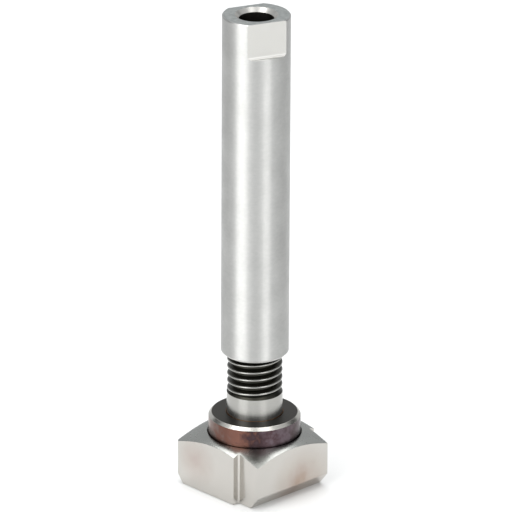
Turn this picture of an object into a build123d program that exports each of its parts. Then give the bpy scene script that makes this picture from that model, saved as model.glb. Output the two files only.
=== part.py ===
from build123d import *
import math
import os

# Centre post of a lathe quick change tool post: a T-head that slides in the
# compound slide's slot, a stud standing in it, a hardened collar round the
# stud's foot, and a long round post that screws down over the stud's thread.
# Frame: millimetres, +Z up along the stud, origin at the bottom centre of the
# T-head. +X and -Y are two of the head's sides.

os.makedirs("parts", exist_ok=True)

# Clearances
RUNNING = 0.05          # radial, a part that turns or slides on another
SEATED = 0.02           # radial, a part that is pressed or pinned in place

# T-head
HEAD_SIDE = 36.0        # across the flat sides, both ways
HEAD_HEIGHT = 18.4      # bottom to the flat ring round the collar
HEAD_CORNER_D = 49.7    # the blank's turned diameter, left on the corners
HEAD_LAND_D = 32.8      # flat ring round the collar
HEAD_CONE_ANGLE = 25.0  # degrees below the horizontal
HEAD_EDGE = 0.6         # broken edge round the bottom
HEAD_END_RUN = 3.4      # wide lead under the +X and -X sides, along X
HEAD_END_RISE = 4.2     # and up the side
STEP_LENGTH = 8.8       # step at each end of the +X side, along X
STEP_DEPTH = 2.3        # how far the step is cut into the +Y and -Y sides
STEP_RADIUS = 0.7       # cutter radius left in the step's inner corner
POCKET_DEPTH = 3.0      # pocket in the top that holds the collar
POCKET_GAP = 0.4        # radial air round the collar in the pocket

# Stud
THREAD_D = 18.0         # M18 x 2.5 right hand
PITCH = 2.5
SHANK_D = 18.2
SHANK_TOP = 32.6        # height of the shank's shoulder above the head's bottom
STUD_TOP = 79.2
STUD_TIP_CHAMFER = 1.2
FOOT_D = 26.0           # flange that pulls up under the head
FOOT_THICK = 5.0
FOOT_RECESS = 0.3       # the flange stays this far above the head's bottom
CREST_START = -2.81     # the thread's first crest, from the shank's shoulder

# Pins that stop the stud from turning in the head
PIN_D = 4.0
PIN_LENGTH = 5.0

# Collar
COLLAR_D = 30.0
COLLAR_TOP = 25.3       # height of its top face above the head's bottom
COLLAR_BEVEL = 1.0

# Post
POST_D = 22.0
POST_LENGTH = 116.0
POST_BOTTOM = 46.2      # height of its lower end above the head's bottom
POST_TOP_EDGE = 0.35
POST_FOOT_CHAMFER = 0.9
THREAD_REACH = 49.0     # depth of the threaded bore from the lower end
TOP_BORE_D = 11.3
TOP_SINK_D = 13.9       # 90 degree countersink at the top of the bore
MOUTH_CHAMFER = 0.5     # at the mouth of the threaded bore
FLATS = 17.5            # across the two spanner flats
FLAT_HEIGHT = 11.8
FLAT_RADIUS = 1.0       # cutter radius at the foot of each flat
FLAT_TURN = -21.0       # degrees from +X to the first flat's normal

UP = (Align.CENTER, Align.CENTER, Align.MIN)


def rod(diameter, low, high):
    """A plain cylinder on the Z axis between two heights."""
    return Pos(0, 0, low) * Cylinder(diameter / 2, high - low, align=UP)


def turned(points):
    """A solid of revolution about Z from (radius, height) points."""
    return revolve(Plane.XZ * make_face(Polyline(*points, close=True)), Axis.Z)


def save(solid, node):
    """Write one node as one STEP file."""
    solid.label = node
    export_step(solid, "parts/" + node + ".step")


# ---- sizes that follow from the ones above ---------------------------------
root_depth = 0.6134 * PITCH
root_d = THREAD_D - 2 * root_depth
foot_low = FOOT_RECESS
foot_high = FOOT_RECESS + FOOT_THICK
pocket_floor = HEAD_HEIGHT - POCKET_DEPTH
pocket_d = COLLAR_D + 2 * POCKET_GAP
post_top = POST_BOTTOM + POST_LENGTH
pin_circle_r = FOOT_D / 2


# ---- T-head: square steel block, top turned to a cone ----------------------
def make_head():
    block = Pos(0, 0, 0) * Box(HEAD_SIDE, HEAD_SIDE, HEAD_HEIGHT, align=UP)
    corner_r = HEAD_CORNER_D / 2
    land_r = HEAD_LAND_D / 2
    drop = (corner_r - land_r) * math.tan(math.radians(HEAD_CONE_ANGLE))
    outline = turned([
        (0, 0),
        (corner_r - HEAD_EDGE, 0),
        (corner_r, HEAD_EDGE),
        (corner_r, HEAD_HEIGHT - drop),
        (land_r, HEAD_HEIGHT),
        (0, HEAD_HEIGHT),
    ])
    # the step at each end of the +X side: a milled shelf with the cutter's
    # radius left in its corner
    steps = []
    for side in (1, -1):
        length = STEP_LENGTH + 1
        depth = STEP_DEPTH + 1
        x = HEAD_SIDE / 2 - STEP_LENGTH + length / 2
        y = side * (HEAD_SIDE / 2 - STEP_DEPTH + depth / 2)
        cutter = Pos(x, y, -1) * Box(length, depth, HEAD_HEIGHT + 2, align=UP)
        inner = cutter.edges().filter_by(Axis.Z).sort_by_distance(
            (HEAD_SIDE / 2 - STEP_LENGTH, side * (HEAD_SIDE / 2 - STEP_DEPTH), HEAD_HEIGHT / 2))[0]
        steps.append(fillet(inner, STEP_RADIUS))
    for cutter in steps:
        block -= cutter
    # the broken edge round the bottom, then the wide lead under the two ends
    bottom = block.faces().sort_by(Axis.Z)[0]
    block = chamfer(bottom.edges(), HEAD_EDGE)
    for side in (1, -1):
        block -= end_lead(side)
    block = block & outline
    block -= rod(pocket_d, pocket_floor, HEAD_HEIGHT + 1)
    block -= rod(SHANK_D + 2 * SEATED, -1, HEAD_HEIGHT)
    block -= rod(FOOT_D + 2 * SEATED, -1, foot_high)
    for pin in pin_places():
        block -= pin * Cylinder(PIN_D / 2, PIN_LENGTH, align=UP)
    return block


def end_lead(side):
    """The wedge milled away under the head's +X or -X side."""
    reach = 1.0
    slope = HEAD_END_RISE / HEAD_END_RUN
    low = Polyline(
        (side * (HEAD_SIDE / 2 - HEAD_END_RUN - reach / slope), -reach),
        (side * (HEAD_SIDE / 2 + reach), HEAD_END_RISE + reach * slope),
        (side * (HEAD_SIDE / 2 + reach), -reach),
        close=True)
    return extrude(Plane.XZ * make_face(low), HEAD_SIDE, both=True)


def pin_places():
    """The two pins stand on the joint between the stud's foot and the head."""
    top = foot_high - PIN_LENGTH
    return [
        Pos(0, side * pin_circle_r, top)
        for side in (1, -1)
    ]


# ---- stud: foot flange, plain shank and thread, one turned piece ------------
def make_stud():
    root_r = root_d / 2
    shank_r = SHANK_D / 2
    crest_r = THREAD_D / 2
    run_out = shank_r - root_r
    reach = 3.0
    start = SHANK_TOP + CREST_START
    turns = math.ceil((STUD_TOP - start) / PITCH) + 1
    blank_top = start + (turns + 1) * PITCH
    body = turned([
        (0, foot_low),
        (FOOT_D / 2 - 0.3, foot_low),
        (FOOT_D / 2, foot_low + 0.3),
        (FOOT_D / 2, foot_high),
        (shank_r, foot_high),
        (shank_r, SHANK_TOP),
        (root_r, SHANK_TOP + run_out),
        (root_r, blank_top),
        (0, blank_top),
    ])
    # the thread is one ridge wound on the root cylinder; it rises out of the
    # shank's shoulder, so the last groove runs out there
    path = Helix(pitch=PITCH, height=turns * PITCH, radius=root_r)
    crest = PITCH / 16
    base = PITCH * 7 / 16
    section = Plane(origin=path @ 0, x_dir=(1, 0, 0), z_dir=path % 0) * Polygon(
        (-0.15, -base), (-0.15, base), (root_depth, crest), (root_depth, -crest), align=None)
    ridge = Pos(0, 0, start) * sweep(section, path=path, is_frenet=True)
    # what would lie inside the shank is cut away first, just below its skin,
    # so that the two solids meet cleanly whatever their sizes
    skin = 0.5
    ridge -= turned([
        (0, foot_low),
        (shank_r + reach, foot_low),
        (shank_r + reach, SHANK_TOP - skin),
        (shank_r, SHANK_TOP - skin),
        (root_r - 2 * skin, SHANK_TOP + run_out + skin),
        (0, SHANK_TOP + run_out + skin),
    ])
    shape = body + ridge
    # cut to length, with the lead chamfer on the tip
    shape -= turned([
        (0, STUD_TOP),
        (crest_r - STUD_TIP_CHAMFER, STUD_TOP),
        (crest_r + reach, STUD_TOP - STUD_TIP_CHAMFER - reach),
        (crest_r + reach, blank_top + reach),
        (0, blank_top + reach),
    ])
    for pin in pin_places():
        shape -= pin * Cylinder(PIN_D / 2, PIN_LENGTH, align=UP)
    return shape


# ---- pins: two ground dowels, half in the foot and half in the head ---------
def make_pins():
    pins = []
    for place in pin_places():
        pin = Cylinder(PIN_D / 2, PIN_LENGTH, align=UP)
        pins.append(place * chamfer(pin.edges(), 0.25))
    return Compound(children=pins)


# ---- collar: hardened ring round the shank, lying in the head's pocket ------
def make_collar():
    outer_r = COLLAR_D / 2
    inner_r = SHANK_D / 2 + RUNNING
    return turned([
        (inner_r, pocket_floor),
        (outer_r - 0.4, pocket_floor),
        (outer_r, pocket_floor + 0.4),
        (outer_r, COLLAR_TOP - COLLAR_BEVEL),
        (outer_r - COLLAR_BEVEL, COLLAR_TOP),
        (inner_r + 0.2, COLLAR_TOP),
        (inner_r, COLLAR_TOP - 0.2),
    ])


# ---- post: ground round bar, bored through and threaded at its lower end ----
def make_post():
    outer_r = POST_D / 2
    thread_r = THREAD_D / 2 + RUNNING
    bore_r = TOP_BORE_D / 2
    sink_r = TOP_SINK_D / 2
    drill_end = POST_BOTTOM + THREAD_REACH
    drill_tip = drill_end + (thread_r - bore_r) / math.tan(math.radians(59))
    shape = turned([
        (thread_r + MOUTH_CHAMFER, POST_BOTTOM),
        (outer_r - POST_FOOT_CHAMFER, POST_BOTTOM),
        (outer_r, POST_BOTTOM + POST_FOOT_CHAMFER),
        (outer_r, post_top - POST_TOP_EDGE),
        (outer_r - POST_TOP_EDGE, post_top),
        (sink_r, post_top),
        (bore_r, post_top - (sink_r - bore_r)),
        (bore_r, drill_tip),
        (thread_r, drill_end),
        (thread_r, POST_BOTTOM + MOUTH_CHAMFER),
    ])
    # the two spanner flats, each ending in a shelf with the cutter's radius
    for turn in (FLAT_TURN, FLAT_TURN + 180):
        depth = outer_r
        cutter = Pos(FLATS / 2 + depth / 2, 0, post_top - FLAT_HEIGHT) * Box(
            depth, POST_D * 2, FLAT_HEIGHT + 1, align=UP)
        inner = cutter.edges().filter_by(Axis.Y).sort_by_distance(
            (FLATS / 2, 0, post_top - FLAT_HEIGHT))[0]
        shape -= Rot(0, 0, turn) * fillet(inner, FLAT_RADIUS)
    return shape


save(make_head(), "head")
save(make_stud(), "stud")
save(make_pins(), "lock_pins")
save(make_collar(), "collar")
save(make_post(), "post")
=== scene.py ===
import math

import bmesh
import bpy
from mathutils import Matrix, Vector


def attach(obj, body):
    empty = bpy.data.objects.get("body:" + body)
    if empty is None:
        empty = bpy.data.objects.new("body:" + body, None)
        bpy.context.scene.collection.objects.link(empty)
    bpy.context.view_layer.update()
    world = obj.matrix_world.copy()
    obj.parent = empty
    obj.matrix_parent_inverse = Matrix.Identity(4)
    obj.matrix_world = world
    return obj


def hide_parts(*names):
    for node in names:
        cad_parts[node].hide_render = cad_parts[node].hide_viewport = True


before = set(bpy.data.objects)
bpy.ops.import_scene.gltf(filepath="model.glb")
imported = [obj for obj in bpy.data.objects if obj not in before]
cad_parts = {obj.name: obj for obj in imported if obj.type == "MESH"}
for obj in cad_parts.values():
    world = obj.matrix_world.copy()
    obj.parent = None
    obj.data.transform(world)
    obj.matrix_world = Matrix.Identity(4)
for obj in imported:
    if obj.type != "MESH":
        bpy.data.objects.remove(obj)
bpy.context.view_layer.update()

# ---- T-head -----------------------------------------------------------------
# A square block of alloy steel, its top turned to a cone and its sides milled and
# polished; the blank's turned skin is left on the corners. Steps and leads are
# milled at its ends, and a pocket in the top takes the collar.
MM = 0.001
HEAD_SIDE, HEAD_HEIGHT, HEAD_CORNER_R, HEAD_LAND_R = 36.0, 18.4, 24.85, 16.4
HEAD_SLOPE = math.tan(math.radians(25))
POCKET_R, POCKET_FLOOR, SHANK_HOLE_R = 15.4, 15.4, 9.12
FOOT_POCKET_R, FOOT_POCKET_TOP = 13.02, 5.3
STEP_LENGTH, STEP_DEPTH, STEP_RADIUS = 8.8, 2.3, 0.7
LEAD_RUN, LEAD_RISE, UNDER_EDGE, HEAD_BROKEN_EDGE = 3.4, 4.2, 0.6, 0.3
TURN_STEPS = 192


def turn(outline, steps=TURN_STEPS, closed=True):
    """A turned shape: (radius, height) points in mm, spun about the Z axis."""
    shape = bmesh.new()
    points = [shape.verts.new((r * MM, 0, z * MM)) for r, z in outline]
    pairs = list(zip(points, points[1:] + points[:1])) if closed else list(zip(points, points[1:]))
    lines = [shape.edges.new(pair) for pair in pairs]
    bmesh.ops.spin(shape, geom=points + lines, cent=(0, 0, 0), axis=(0, 0, 1), dvec=(0, 0, 0),
                   angle=2 * math.pi, steps=steps, use_merge=True, use_duplicate=False)
    bmesh.ops.remove_doubles(shape, verts=shape.verts, dist=1e-6)
    bmesh.ops.recalc_face_normals(shape, faces=shape.faces)
    return shape


def place(shape, name):
    """Writes a bmesh to a new object at the origin and frees it."""
    mesh = bpy.data.meshes.new(name)
    shape.to_mesh(mesh)
    shape.free()
    piece = bpy.data.objects.new(name, mesh)
    bpy.context.scene.collection.objects.link(piece)
    return piece


def mill(piece, cutter):
    """Takes the cutter's shape out of a piece and throws the cutter away."""
    cut = piece.modifiers.new("mill", "BOOLEAN")
    cut.object, cut.operation, cut.solver = cutter, "DIFFERENCE", "EXACT"
    settled = piece.evaluated_get(bpy.context.evaluated_depsgraph_get())
    milled = bpy.data.meshes.new_from_object(settled)
    piece.modifiers.remove(cut)
    piece.data = milled
    bpy.data.objects.remove(cutter)


def block(centre, size, rounded=None, radius=0.0):
    """A box in mm; the edges for which rounded(middle in mm) is true get a radius."""
    shape = bmesh.new()
    bmesh.ops.create_cube(shape, size=1.0)
    bmesh.ops.scale(shape, vec=Vector(size) * MM, verts=shape.verts)
    bmesh.ops.translate(shape, vec=Vector(centre) * MM, verts=shape.verts)
    if rounded:
        edges = [e for e in shape.edges if rounded((e.verts[0].co + e.verts[1].co) / (2 * MM))]
        bmesh.ops.bevel(shape, geom=edges, offset=radius * MM, segments=6, profile=0.5,
                        affect="EDGES", material=-1)
    return shape


def dress(piece, paints, pick, edge, sharp=28):
    """Smooth faces with crisp corners, a broken edge in mm, and a paint for each face."""
    for paint in paints:
        piece.data.materials.append(paint)
    for face in piece.data.polygons:
        face.use_smooth = True
        face.material_index = pick(face.center / MM, face.normal)
    piece.data.set_sharp_from_angle(angle=math.radians(sharp))
    if edge:
        broken = piece.modifiers.new("broken edge", "BEVEL")
        broken.width, broken.segments, broken.limit_method = edge * MM, 2, "ANGLE"
        broken.angle_limit, broken.harden_normals = math.radians(sharp), True


def linear(hex_colour):
    """An sRGB hex colour as linear RGBA."""
    parts = [int(hex_colour[i:i + 2], 16) / 255 for i in (0, 2, 4)]
    return [c / 12.92 if c <= 0.04045 else ((c + 0.055) / 1.055) ** 2.4 for c in parts] + [1.0]


def add(tree, kind, links=None, **settings):
    """Adds a node, sets its properties and socket values, and links sockets to it."""
    node = tree.nodes.new(kind)
    values = settings.pop("values", {})
    for name, value in settings.items():
        setattr(node, name, value)
    for socket, value in values.items():
        node.inputs[socket].default_value = value
    for socket, source in (links or {}).items():
        tree.links.new(source, node.inputs[socket])
    return node


def steel(name, colour, roughness, anisotropic=0.0):
    """A bare metal with one shader; returns the material, its tree and the shader."""
    paint = bpy.data.materials.new(name)
    paint.use_nodes = True
    tree = paint.node_tree
    shader = tree.nodes["Principled BSDF"]
    shader.inputs["Base Color"].default_value = linear(colour)
    shader.inputs["Metallic"].default_value = 1.0
    shader.inputs["Roughness"].default_value = roughness
    shader.inputs["Anisotropic"].default_value = anisotropic
    shader.inputs["Anisotropic Rotation"].default_value = 0.25
    return paint, tree, shader


# polished alloy steel: a soft mirror with a warm cast, faint heat-tint clouds
# and hairline scratches left by the polishing belt
head_side_paint, tree, shader = steel("belt-polished alloy steel", "C8C5C0", 0.24)
where = add(tree, "ShaderNodeTexCoord").outputs["Object"]
cloud = add(tree, "ShaderNodeTexNoise", {"Vector": where},
            values={"Scale": 1 / (9 * MM), "Detail": 3.0, "Roughness": 0.55})
left_patch = add(tree, "ShaderNodeVectorMath", {0: where}, operation="DISTANCE")
left_patch.inputs[1].default_value = Vector((-8, -18, 10)) * MM
right_patch = add(tree, "ShaderNodeVectorMath", {0: where}, operation="DISTANCE")
right_patch.inputs[1].default_value = Vector((18, 4, 4)) * MM
left_tint = add(tree, "ShaderNodeMapRange", {"Value": left_patch.outputs["Value"]},
                values={"From Min": 9 * MM, "From Max": 1 * MM, "To Min": 0.0, "To Max": 0.9})
right_tint = add(tree, "ShaderNodeMapRange", {"Value": right_patch.outputs["Value"]},
                 values={"From Min": 14 * MM, "From Max": 2 * MM, "To Min": 0.0, "To Max": 0.9})
left_cloud = add(tree, "ShaderNodeMath", {0: left_tint.outputs[0], 1: cloud.outputs["Fac"]},
                 operation="MULTIPLY")
right_cloud = add(tree, "ShaderNodeMath", {0: right_tint.outputs[0], 1: cloud.outputs["Fac"]},
                  operation="MULTIPLY")
rosy = add(tree, "ShaderNodeMix", {"Factor": left_cloud.outputs[0]}, data_type="RGBA")
rosy.inputs[6].default_value, rosy.inputs[7].default_value = linear("C8C5C0"), linear("AC948C")
straw = add(tree, "ShaderNodeMix", {"Factor": right_cloud.outputs[0], 6: rosy.outputs[2]},
            data_type="RGBA")
straw.inputs[7].default_value = linear("96755E")
tree.links.new(straw.outputs[2], shader.inputs["Base Color"])
gloss = add(tree, "ShaderNodeMapRange", {"Value": cloud.outputs["Fac"]},
            values={"From Min": 0.3, "From Max": 0.7, "To Min": 0.16, "To Max": 0.27})
tree.links.new(gloss.outputs[0], shader.inputs["Roughness"])
belt = add(tree, "ShaderNodeMapping", {"Vector": where})
belt.inputs["Scale"].default_value = (1 / (6 * MM), 1 / (6 * MM), 1 / (0.35 * MM))
scratch = add(tree, "ShaderNodeTexNoise", {"Vector": belt.outputs[0]},
              values={"Scale": 1.0, "Detail": 2.0})
relief = add(tree, "ShaderNodeBump", {"Height": scratch.outputs["Fac"]},
             values={"Strength": 0.12, "Distance": 0.02 * MM})
tree.links.new(relief.outputs[0], shader.inputs["Normal"])

# the turned cone was polished in the lathe and is cloudy; its colour is painted darker than the sides, as
# painted shade for the dark it mirrors from above
head_top_painted_shade_paint, tree, shader = steel("lathe-polished alloy steel, painted shade", "A6A7A3", 0.26)
where = add(tree, "ShaderNodeTexCoord").outputs["Object"]
haze = add(tree, "ShaderNodeTexNoise", {"Vector": where},
           values={"Scale": 1 / (5 * MM), "Detail": 3.0})
gloss = add(tree, "ShaderNodeMapRange", {"Value": haze.outputs["Fac"]},
            values={"From Min": 0.3, "From Max": 0.7, "To Min": 0.2, "To Max": 0.32})
tree.links.new(gloss.outputs[0], shader.inputs["Roughness"])

half = HEAD_SIDE / 2
cone_drop = (HEAD_CORNER_R - HEAD_LAND_R) * HEAD_SLOPE
shape = turn([
    (FOOT_POCKET_R, 0), (HEAD_CORNER_R, 0), (HEAD_CORNER_R, HEAD_HEIGHT - cone_drop),
    (HEAD_LAND_R, HEAD_HEIGHT), (POCKET_R, HEAD_HEIGHT), (POCKET_R, POCKET_FLOOR),
    (SHANK_HOLE_R, POCKET_FLOOR), (SHANK_HOLE_R, FOOT_POCKET_TOP), (FOOT_POCKET_R, FOOT_POCKET_TOP),
])
for direction in ((1, 0, 0), (-1, 0, 0), (0, 1, 0), (0, -1, 0)):
    sliced = bmesh.ops.bisect_plane(
        shape, geom=shape.verts[:] + shape.edges[:] + shape.faces[:], dist=1e-7,
        plane_co=Vector(direction) * half * MM, plane_no=direction, clear_outer=True)
    rim = [part for part in sliced["geom_cut"] if isinstance(part, bmesh.types.BMEdge)]
    bmesh.ops.edgenet_fill(shape, edges=rim, mat_nr=0, use_smooth=False, sides=0)
bmesh.ops.recalc_face_normals(shape, faces=shape.faces)
head = place(shape, "polished_head")
step_cut = Vector((10, 4, HEAD_HEIGHT + 4))
for side in (1, -1):
    corner = Vector((half - STEP_LENGTH, side * (half - STEP_DEPTH), HEAD_HEIGHT / 2))
    middle = corner + Vector((step_cut.x / 2, side * step_cut.y / 2, 0))
    cutter = block(middle, step_cut, lambda at: (at - corner).length < 0.1, STEP_RADIUS)
    mill(head, place(cutter, "step cutter"))
# the cutter's upper face lies on the lead, whose middle is where it is set down
lead_cut = Vector((40, 60, 10))
for side in (1, -1):
    cutter = block((0, 0, -lead_cut.z / 2), lead_cut)
    bmesh.ops.rotate(cutter, cent=(0, 0, 0), verts=cutter.verts,
                     matrix=Matrix.Rotation(-side * math.atan2(LEAD_RISE, LEAD_RUN), 3, "Y"))
    bmesh.ops.translate(cutter, verts=cutter.verts,
                        vec=Vector((side * (half - LEAD_RUN / 2), 0, LEAD_RISE / 2)) * MM)
    mill(head, place(cutter, "lead cutter"))
# the broken edge under the sides; the hole in the middle keeps its sharp mouth
shape = bmesh.new()
shape.from_mesh(head.data)
underside = [e for e in shape.edges
             if max(abs(v.co.z) for v in e.verts) < 1e-6
             and min(v.co.xy.length for v in e.verts) > (FOOT_POCKET_R + 1) * MM
             and any(abs(f.normal.z) < 0.1 for f in e.link_faces)]
bmesh.ops.bevel(shape, geom=underside, offset=UNDER_EDGE * MM, segments=2, profile=0.5,
                affect="EDGES", material=-1)
shape.to_mesh(head.data)
shape.free()
# the upward faces take the cone's darker paint, which is painted shade
dress(head, [head_side_paint, head_top_painted_shade_paint],
      lambda middle, normal: 1 if normal.z > 0.5 else 0, edge=HEAD_BROKEN_EDGE)
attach(head, "base")
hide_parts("head")

# ---- stud -------------------------------------------------------------------
# Turned from one bar: a flange that pulls up under the head, a plain shank and
# an M18 x 2.5 right-hand thread cut to the shank's shoulder.
FOOT_LOW, FOOT_R, FOOT_EDGE, SHANK_R, SHANK_TOP = 0.3, 13.0, 0.3, 9.1, 32.6
THREAD_R, PITCH, STUD_TOP = 9.0, 2.5, 79.2
ROOT_R = THREAD_R - 0.6134 * PITCH
CREST_START, CREST_BRIGHT_DEPTH, CREST_EDGE = -2.81, 0.22, 0.04

# turned and filed bright steel: a soft mirror that draws out along the shank
shank_paint, tree, shader = steel("bright turned steel", "AEADA9", 0.26, 0.5)
spun = add(tree, "ShaderNodeTangent", direction_type="RADIAL", axis="Z")
tree.links.new(spun.outputs[0], shader.inputs["Tangent"])
where = add(tree, "ShaderNodeTexCoord").outputs["Object"]
feed = add(tree, "ShaderNodeMapping", {"Vector": where})
feed.inputs["Scale"].default_value = (1 / (12 * MM), 1 / (12 * MM), 1 / (0.3 * MM))
ridge = add(tree, "ShaderNodeTexNoise", {"Vector": feed.outputs[0]},
            values={"Scale": 1.0, "Detail": 2.0})
relief = add(tree, "ShaderNodeBump", {"Height": ridge.outputs["Fac"]},
             values={"Strength": 0.15, "Distance": 0.02 * MM})
tree.links.new(relief.outputs[0], shader.inputs["Normal"])

# the thread's flanks are painted near black, as painted shade for the dark grooves; its crests keep the
# bright steel
thread_flank_painted_shade, tree, shader = steel("thread flank, painted groove shade", "3E3D37", 0.3)

run_out = SHANK_R - ROOT_R
shape = turn([
    (0, FOOT_LOW), (FOOT_R - FOOT_EDGE, FOOT_LOW), (FOOT_R, FOOT_LOW + FOOT_EDGE),
    (FOOT_R, FOOT_POCKET_TOP), (SHANK_R, FOOT_POCKET_TOP), (SHANK_R, SHANK_TOP),
    (ROOT_R, SHANK_TOP + run_out), (0, SHANK_TOP + run_out),
], closed=False)
shank = place(shape, "stud_shank")
# faces above the shank's shoulder take the near-black flank paint: painted groove shade
dress(shank, [shank_paint, thread_flank_painted_shade],
      lambda middle, normal: 1 if middle.z > SHANK_TOP + 0.05 else 0, edge=0.0)

# one pitch of the thread's outline wound up the bar; next to the crest the flank is cut in two, so that
# its outer part keeps the crest's bright steel and only its inner part takes the painted groove shade
turns = math.ceil((STUD_TOP - SHANK_TOP - CREST_START) / PITCH) + 1
root, crest, flank = PITCH / 8, PITCH / 8, PITCH * 3 / 8
crest_low, crest_high = root + flank, root + flank + crest
bright_run = flank * CREST_BRIGHT_DEPTH / (THREAD_R - ROOT_R)
ease = CREST_EDGE / 2
profile = [
    (ROOT_R, 0), (ROOT_R, root - ease), (THREAD_R - CREST_BRIGHT_DEPTH, crest_low - bright_run),
    (THREAD_R - CREST_EDGE, crest_low - ease), (THREAD_R, crest_low + CREST_EDGE),
    (THREAD_R, crest_high - CREST_EDGE), (THREAD_R - CREST_EDGE, crest_high + ease),
    (THREAD_R - CREST_BRIGHT_DEPTH, crest_high + bright_run), (ROOT_R, PITCH),
]
foot = SHANK_TOP + CREST_START - (crest_low + crest / 2)
wind = bmesh.new()
points = [wind.verts.new((r * MM, 0, (foot + z) * MM)) for r, z in profile]
lines = [wind.edges.new(pair) for pair in zip(points, points[1:])]
per_turn = 96
bmesh.ops.spin(wind, geom=points + lines, cent=(0, 0, 0), axis=(0, 0, 1),
               dvec=(0, 0, PITCH / per_turn * MM), angle=2 * math.pi * turns,
               steps=per_turn * turns, use_merge=False, use_duplicate=False)
bmesh.ops.remove_doubles(wind, verts=wind.verts, dist=2e-6)
# the start is cut off inside the shank, and the end to the stud's length
hidden_start = foot + PITCH + 1.0
for height, up in ((hidden_start, -1), (STUD_TOP, 1)):
    sliced = bmesh.ops.bisect_plane(
        wind, geom=wind.verts[:] + wind.edges[:] + wind.faces[:], dist=1e-7,
        plane_co=(0, 0, height * MM), plane_no=(0, 0, up), clear_outer=True)
    rim = [part for part in sliced["geom_cut"] if isinstance(part, bmesh.types.BMEdge)]
    bmesh.ops.edgenet_fill(wind, edges=rim, mat_nr=0, use_smooth=False, sides=0)
bmesh.ops.recalc_face_normals(wind, faces=wind.faces)
thread = place(wind, "stud_thread")
# the flanks below the crest band take the near-black paint: painted groove shade
dress(thread, [shank_paint, thread_flank_painted_shade],
      lambda middle, normal: 0 if middle.xy.length > THREAD_R - CREST_BRIGHT_DEPTH or normal.z > 0.95 else 1,
      edge=0.0, sharp=50)
for piece in (shank, thread):
    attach(piece, "base")
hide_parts("stud")
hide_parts("stud")

# ---- lock pins --------------------------------------------------------------
# Two ground dowels pressed in from below, half in the stud's foot and half in
# the head, so that the stud can't turn.
PIN_R, PIN_TOP, PIN_LENGTH, PIN_EDGE = 2.0, 5.3, 5.0, 0.25

pin_paint, tree, shader = steel("ground dowel steel", "C8C8C6", 0.2)

pins = bmesh.new()
for side in (1, -1):
    made = bmesh.ops.create_cone(
        pins, cap_ends=True, cap_tris=False, segments=48, radius1=PIN_R * MM, radius2=PIN_R * MM,
        depth=PIN_LENGTH * MM,
        matrix=Matrix.Translation(Vector((0, side * FOOT_R, PIN_TOP - PIN_LENGTH / 2)) * MM))
    ends = [e for e in pins.edges
            if e.verts[0] in made["verts"] and len({round(v.co.z, 6) for v in e.verts}) == 1]
    bmesh.ops.bevel(pins, geom=ends, offset=PIN_EDGE * MM, segments=1, profile=0.5,
                    affect="EDGES", material=-1)
pins = place(pins, "dowels")
dress(pins, [pin_paint], lambda middle, normal: 0, edge=0.0)
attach(pins, "base")
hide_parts("lock_pins")

# ---- collar -----------------------------------------------------------------
# A loose ring of tool steel round the shank, hardened and then tempered in the
# open air, which left a skin of oxide; the bevel was polished afterwards.
COLLAR_R, COLLAR_TOP, COLLAR_BEVEL, COLLAR_BORE_R = 15.0, 25.3, 1.0, 9.15
COLLAR_FOOT_EDGE, COLLAR_MOUTH, COLLAR_BROKEN_EDGE = 0.4, 0.25, 0.12
# this turn lines the collar's colour ramp up across the camera's view, so its dark and light stops are
# painted shade and painted highlight
SHADE_ACROSS_VIEW_TURN = -46.4

# tempered tool steel: thin oxide in patches of brown, rose and grey purple, laid out left to right as the
# camera sees the collar; the ramp's near-black middle is painted shade and its lighter stops are painted
# highlight bands
temper_and_painted_shade_paint, tree, shader = steel("tempered tool steel, painted shade and highlights", "6E4A40", 0.27)
where = add(tree, "ShaderNodeTexCoord").outputs["Object"]
bands = add(tree, "ShaderNodeMapping", {"Vector": where})
bands.inputs["Rotation"].default_value = (0, 0, math.radians(SHADE_ACROSS_VIEW_TURN))
drift = add(tree, "ShaderNodeSeparateXYZ", {"Vector": bands.outputs[0]})
mottle = add(tree, "ShaderNodeTexNoise", {"Vector": where},
             values={"Scale": 1 / (2.2 * MM), "Detail": 4.0, "Roughness": 0.6})
across = add(tree, "ShaderNodeMapRange", {"Value": drift.outputs["X"]},
             values={"From Min": -COLLAR_R * MM, "From Max": COLLAR_R * MM})
spread = add(tree, "ShaderNodeMapRange", {"Value": mottle.outputs["Fac"]},
             values={"From Min": 0.25, "From Max": 0.75, "To Min": -0.2, "To Max": 0.2})
shade = add(tree, "ShaderNodeMath", {0: across.outputs[0], 1: spread.outputs[0]}, operation="ADD")
oxide_and_shade_ramp = add(tree, "ShaderNodeValToRGB", {"Fac": shade.outputs[0]})
# oxide hues, with painted shade in the dark middle stops and painted highlights in the lighter ones
oxide_and_shade_stops = ((0.0, "72605A"), (0.14, "6E4E45"), (0.36, "745248"), (0.52, "46373A"), (0.64, "524246"),
         (0.82, "665A60"), (1.0, "4E4244"))
while len(oxide_and_shade_ramp.color_ramp.elements) < len(oxide_and_shade_stops):
    oxide_and_shade_ramp.color_ramp.elements.new(0.5)
for element, (at, colour) in zip(oxide_and_shade_ramp.color_ramp.elements, oxide_and_shade_stops):
    element.position, element.color = at, linear(colour)
tree.links.new(oxide_and_shade_ramp.outputs[0], shader.inputs["Base Color"])

# the top face: the same skin, duller, its colour painted dark as painted shade for the dark it mirrors
collar_top_painted_shade, tree, shader = steel("tempered top, painted shade", "3F3D39", 0.42)

# the mouth of the bore kept a straw brown tint
straw_paint, tree, shader = steel("straw temper", "86603C", 0.3)

# the bevel, polished back to white metal
bevel_paint, tree, shader = steel("polished bevel", "D6D3CC", 0.25)

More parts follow.
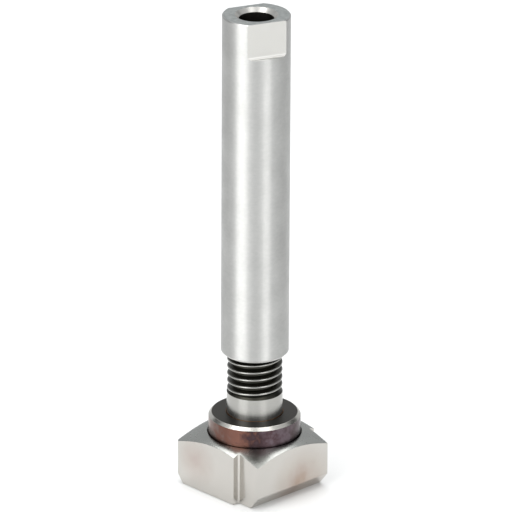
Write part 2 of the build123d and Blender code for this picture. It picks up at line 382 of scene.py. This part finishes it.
shape = turn([
    (COLLAR_BORE_R, POCKET_FLOOR), (COLLAR_R - COLLAR_FOOT_EDGE, POCKET_FLOOR),
    (COLLAR_R, POCKET_FLOOR + COLLAR_FOOT_EDGE), (COLLAR_R, COLLAR_TOP - COLLAR_BEVEL),
    (COLLAR_R - COLLAR_BEVEL, COLLAR_TOP), (COLLAR_BORE_R + COLLAR_MOUTH, COLLAR_TOP),
    (COLLAR_BORE_R, COLLAR_TOP - COLLAR_MOUTH),
])
collar = place(shape, "tempered_collar")


def collar_face(middle, normal):
    """Which paint a collar face gets: band, top or polished bevel."""
    if normal.z > 0.9:
        return 1
    if normal.z > 0.3:
        return 3 if middle.xy.length < COLLAR_BORE_R + 0.5 else 2
    return 0


dress(collar, [temper_and_painted_shade_paint, collar_top_painted_shade, bevel_paint, straw_paint], collar_face,
      edge=COLLAR_BROKEN_EDGE)
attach(collar, "collar")
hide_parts("collar")

# ---- post -------------------------------------------------------------------
# Round bar, hardened and ground between centres, bored through, threaded from
# below and faced and countersunk at the top, with two milled spanner flats.
POST_R, POST_BOTTOM, POST_TOP = 11.0, 46.2, 162.2
FOOT_CHAMFER, TOP_EDGE, MOUTH_CHAMFER, POST_BROKEN_EDGE = 0.9, 0.35, 0.5, 0.12
THREAD_BORE_R, BORE_R, SINK_R, DRILL_END = 9.05, 5.65, 6.95, 95.2
FLATS, FLAT_HEIGHT, FLAT_RADIUS, FLAT_TURN = 17.5, 11.8, 1.0, -21.0
DRILL_POINT = math.radians(59)

# cylindrically ground steel: satin, with the wheel's marks running round it, so
# the highlights draw out along the post
ground_paint, tree, shader = steel("cylindrically ground steel", "CDCDCA", 0.45, 0.9)
spun = add(tree, "ShaderNodeTangent", direction_type="RADIAL", axis="Z")
tree.links.new(spun.outputs[0], shader.inputs["Tangent"])
where = add(tree, "ShaderNodeTexCoord").outputs["Object"]
wheel = add(tree, "ShaderNodeMapping", {"Vector": where})
wheel.inputs["Scale"].default_value = (1 / (1.6 * MM), 1 / (1.6 * MM), 1 / (0.9 * MM))
marks = add(tree, "ShaderNodeTexNoise", {"Vector": wheel.outputs[0]},
            values={"Scale": 1.0, "Detail": 4.0, "Roughness": 0.6})
cloud = add(tree, "ShaderNodeTexNoise", {"Vector": where},
            values={"Scale": 1 / (7 * MM), "Detail": 3.0})
tone = add(tree, "ShaderNodeMix", {"Factor": marks.outputs["Fac"]}, data_type="RGBA")
tone.inputs[6].default_value, tone.inputs[7].default_value = linear("C8C9C6"), linear("DBDAD8")
tree.links.new(tone.outputs[2], shader.inputs["Base Color"])
gloss = add(tree, "ShaderNodeMapRange", {"Value": cloud.outputs["Fac"]},
            values={"From Min": 0.3, "From Max": 0.7, "To Min": 0.46, "To Max": 0.54})
tree.links.new(gloss.outputs[0], shader.inputs["Roughness"])
relief = add(tree, "ShaderNodeBump", {"Height": marks.outputs["Fac"]},
             values={"Strength": 0.2, "Distance": 0.02 * MM})
tree.links.new(relief.outputs[0], shader.inputs["Normal"])

# the faced end: dull, blotched by the coolant
faced_paint, tree, shader = steel("faced end", "A9ADAB", 0.38)
where = add(tree, "ShaderNodeTexCoord").outputs["Object"]
blotch = add(tree, "ShaderNodeTexNoise", {"Vector": where},
             values={"Scale": 1 / (1.4 * MM), "Detail": 3.0})
tone = add(tree, "ShaderNodeMix", {"Factor": blotch.outputs["Fac"]}, data_type="RGBA")
tone.inputs[6].default_value, tone.inputs[7].default_value = linear("7E8482"), linear("C6C8C6")
tree.links.new(tone.outputs[2], shader.inputs["Base Color"])

# the flats: side-milled, a dull mirror
milled_paint, tree, shader = steel("side-milled flat", "C6C5C1", 0.3)

# the countersink, cut bright; the bore behind it, dark with oil and with painted shadow
sink_paint, tree, shader = steel("bright countersink", "D0CEC9", 0.28)
bore_painted_shadow, tree, shader = steel("oiled bore, painted shadow", "4A4845", 0.4)

drill_tip = DRILL_END + (THREAD_BORE_R - BORE_R) / math.tan(DRILL_POINT)
shape = turn([
    (THREAD_BORE_R + MOUTH_CHAMFER, POST_BOTTOM), (POST_R - FOOT_CHAMFER, POST_BOTTOM),
    (POST_R, POST_BOTTOM + FOOT_CHAMFER), (POST_R, POST_TOP - TOP_EDGE),
    (POST_R - TOP_EDGE, POST_TOP), (SINK_R, POST_TOP), (BORE_R, POST_TOP - (SINK_R - BORE_R)),
    (BORE_R, drill_tip), (THREAD_BORE_R, DRILL_END),
    (THREAD_BORE_R, POST_BOTTOM + MOUTH_CHAMFER),
])
post = place(shape, "ground_post")
foot_of_flat = POST_TOP - FLAT_HEIGHT
flat_cut = Vector((10, 40, 20))
for turned_by in (FLAT_TURN, FLAT_TURN + 180):
    corner = Vector((FLATS / 2, 0, foot_of_flat))
    cutter = block(corner + Vector((flat_cut.x / 2, 0, flat_cut.z / 2)), flat_cut,
                   lambda at: (at - corner).length < 0.1, FLAT_RADIUS)
    bmesh.ops.rotate(cutter, cent=(0, 0, 0), verts=cutter.verts,
                     matrix=Matrix.Rotation(math.radians(turned_by), 3, "Z"))
    mill(post, place(cutter, "flat cutter"))
flat_normal = Vector((math.cos(math.radians(FLAT_TURN)), math.sin(math.radians(FLAT_TURN)), 0))


def post_face(middle, normal):
    """Which paint a face of the post gets, from where it lies."""
    across = abs(middle.dot(flat_normal))
    out = middle.xy.length
    if out < BORE_R + 0.1 or (out < THREAD_BORE_R + 0.1 and middle.z < DRILL_END + 3):
        return 4
    if normal.z > 0.9 and middle.z > POST_TOP - 0.01:
        return 1
    if middle.z > POST_TOP - 2 and out < SINK_R:
        return 3
    by_flat = across < FLATS / 2 + FLAT_RADIUS + 0.2 and out < POST_R - 0.3
    if middle.z > foot_of_flat - 0.01 and by_flat:
        return 2
    return 0


dress(post, [ground_paint, faced_paint, milled_paint, sink_paint, bore_painted_shadow], post_face,
      edge=POST_BROKEN_EDGE)
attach(post, "post")
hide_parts("post")

# ---- studio -----------------------------------------------------------------
# A round white table in an evenly lit tent, with a soft box on each side of the
# camera, one overhead, and two black flags behind the boxes.
CAMERA_TURN, CAMERA_LIFT, CAMERA_ROLL = 46.4, 21.86, 0.286
CAMERA_DISTANCE, CAMERA_LENS, AIM_HEIGHT, AIM_RIGHT = 2.4641, 538.17, 0.07939, 0.000215
TABLE_R, LAMP_AIM, FLAG_R = 1.3, 0.06, 0.6

towards = Vector((math.sin(math.radians(CAMERA_TURN)), -math.cos(math.radians(CAMERA_TURN)), 0))
right = Vector((math.cos(math.radians(CAMERA_TURN)), math.sin(math.radians(CAMERA_TURN)), 0))


def around(turned, lift, distance):
    """A point seen from the object at an angle right of the camera and above the table."""
    t, e = math.radians(turned), math.radians(lift)
    return (towards * math.cos(t) * math.cos(e) + right * math.sin(t) * math.cos(e)
            + Vector((0, 0, math.sin(e)))) * distance


table_top = bmesh.new()
bmesh.ops.create_circle(table_top, cap_ends=True, cap_tris=False, segments=128, radius=TABLE_R)
table_top = place(table_top, "table")
paint = bpy.data.materials.new("white laminate")
paint.use_nodes = True
paint.node_tree.nodes["Principled BSDF"].inputs["Base Color"].default_value = linear("F5F5F4")
paint.node_tree.nodes["Principled BSDF"].inputs["Roughness"].default_value = 0.12
table_top.data.materials.append(paint)

# name, degrees right of the camera, degrees up, distance, width, height, watts
soft_boxes = (
    ("left soft box", -48, 36, 1.4, 0.95, 1.8, 13.0),
    ("right soft box", 37, 36, 1.4, 0.62, 1.8, 6.0),
    ("overhead", 180, 75, 1.5, 1.2, 1.2, 13.0),
)
for name, turned, lift, distance, width, height, watts in soft_boxes:
    lamp = bpy.data.lights.new(name, "AREA")
    lamp.shape, lamp.size, lamp.size_y, lamp.energy = "RECTANGLE", width, height, watts
    lamp = bpy.data.objects.new(name, lamp)
    lamp.location = around(turned, lift, distance)
    lamp.rotation_euler = (Vector((0, 0, LAMP_AIM)) - lamp.location).to_track_quat("-Z", "Y").to_euler()
    bpy.context.scene.collection.objects.link(lamp)

# the flags draw the dark lines in the edges; each is a curved band
black = bpy.data.materials.new("black felt")
black.use_nodes = True
black.node_tree.nodes["Principled BSDF"].inputs["Base Color"].default_value = linear("141414")
black.node_tree.nodes["Principled BSDF"].inputs["Roughness"].default_value = 1.0
for name, first, last, low, high in (("left flag", -84, -130, 20, 38), ("right flag", 80, 135, 20, 38)):
    shape = bmesh.new()
    ends = [shape.verts.new(around(first, 0, FLAG_R) + Vector((0, 0, FLAG_R * math.tan(math.radians(up)))))
            for up in (low, high)]
    bmesh.ops.spin(shape, geom=ends + [shape.edges.new(ends)], cent=(0, 0, 0), axis=(0, 0, 1),
                   dvec=(0, 0, 0), angle=math.radians(last - first), steps=16,
                   use_merge=False, use_duplicate=False)
    flag = place(shape, name)
    flag.data.materials.append(black)
    flag.visible_camera = False

world = bpy.data.worlds.new("light tent")
world.use_nodes = True
world.node_tree.nodes["Background"].inputs["Color"].default_value = linear("C8CACC")
world.node_tree.nodes["Background"].inputs["Strength"].default_value = 1.0
bpy.context.scene.world = world
bpy.context.scene.view_settings.view_transform = "Standard"

lens = bpy.data.cameras.new("camera")
lens.lens, lens.sensor_width, lens.clip_start, lens.clip_end = CAMERA_LENS, 36.0, 0.05, 20.0
camera = bpy.data.objects.new("camera", lens)
aim = Vector((0, 0, AIM_HEIGHT)) + right * AIM_RIGHT
camera.location = aim + around(0, CAMERA_LIFT, CAMERA_DISTANCE)
look = (aim - camera.location).to_track_quat("-Z", "Y")
camera.rotation_mode = "QUATERNION"
camera.rotation_quaternion = look @ Matrix.Rotation(math.radians(CAMERA_ROLL), 3, "Z").to_quaternion()
bpy.context.scene.collection.objects.link(camera)
bpy.context.scene.camera = camera
